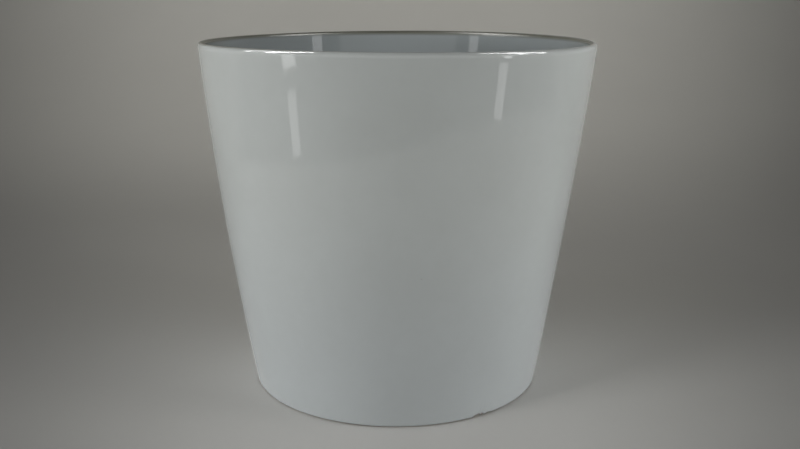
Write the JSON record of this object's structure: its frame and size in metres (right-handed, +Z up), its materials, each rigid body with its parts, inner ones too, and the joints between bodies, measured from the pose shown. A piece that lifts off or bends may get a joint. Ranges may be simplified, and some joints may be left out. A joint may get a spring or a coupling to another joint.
{
  "type": "conical vase",
  "caption": "Open glazed ceramic vase: a gently bowed cone, wider at its round lip than at its flat foot, that holds flowers, water or a potted plant.",
  "frame": {"origin": "middle of the foot, on the surface that the vase stands on", "axes": "+Z up along the axis of the cone, towards the mouth; +X to the right and -Y towards the viewer in the picture"},
  "size_m": [0.2, 0.2, 0.1778],
  "materials": {
    "bare_clay": "matt fired clay, bare on the flat foot ring and the lowest part of its edges",
    "pale_glaze": "glossy pale grey-white glaze with a faint green cast"
  },
  "bodies": {
    "root": {"clay_body": "bare_clay", "outside_glaze": "pale_glaze", "inside_glaze": "pale_glaze", "underside_glaze": "pale_glaze"}
  },
  "joints": []
}
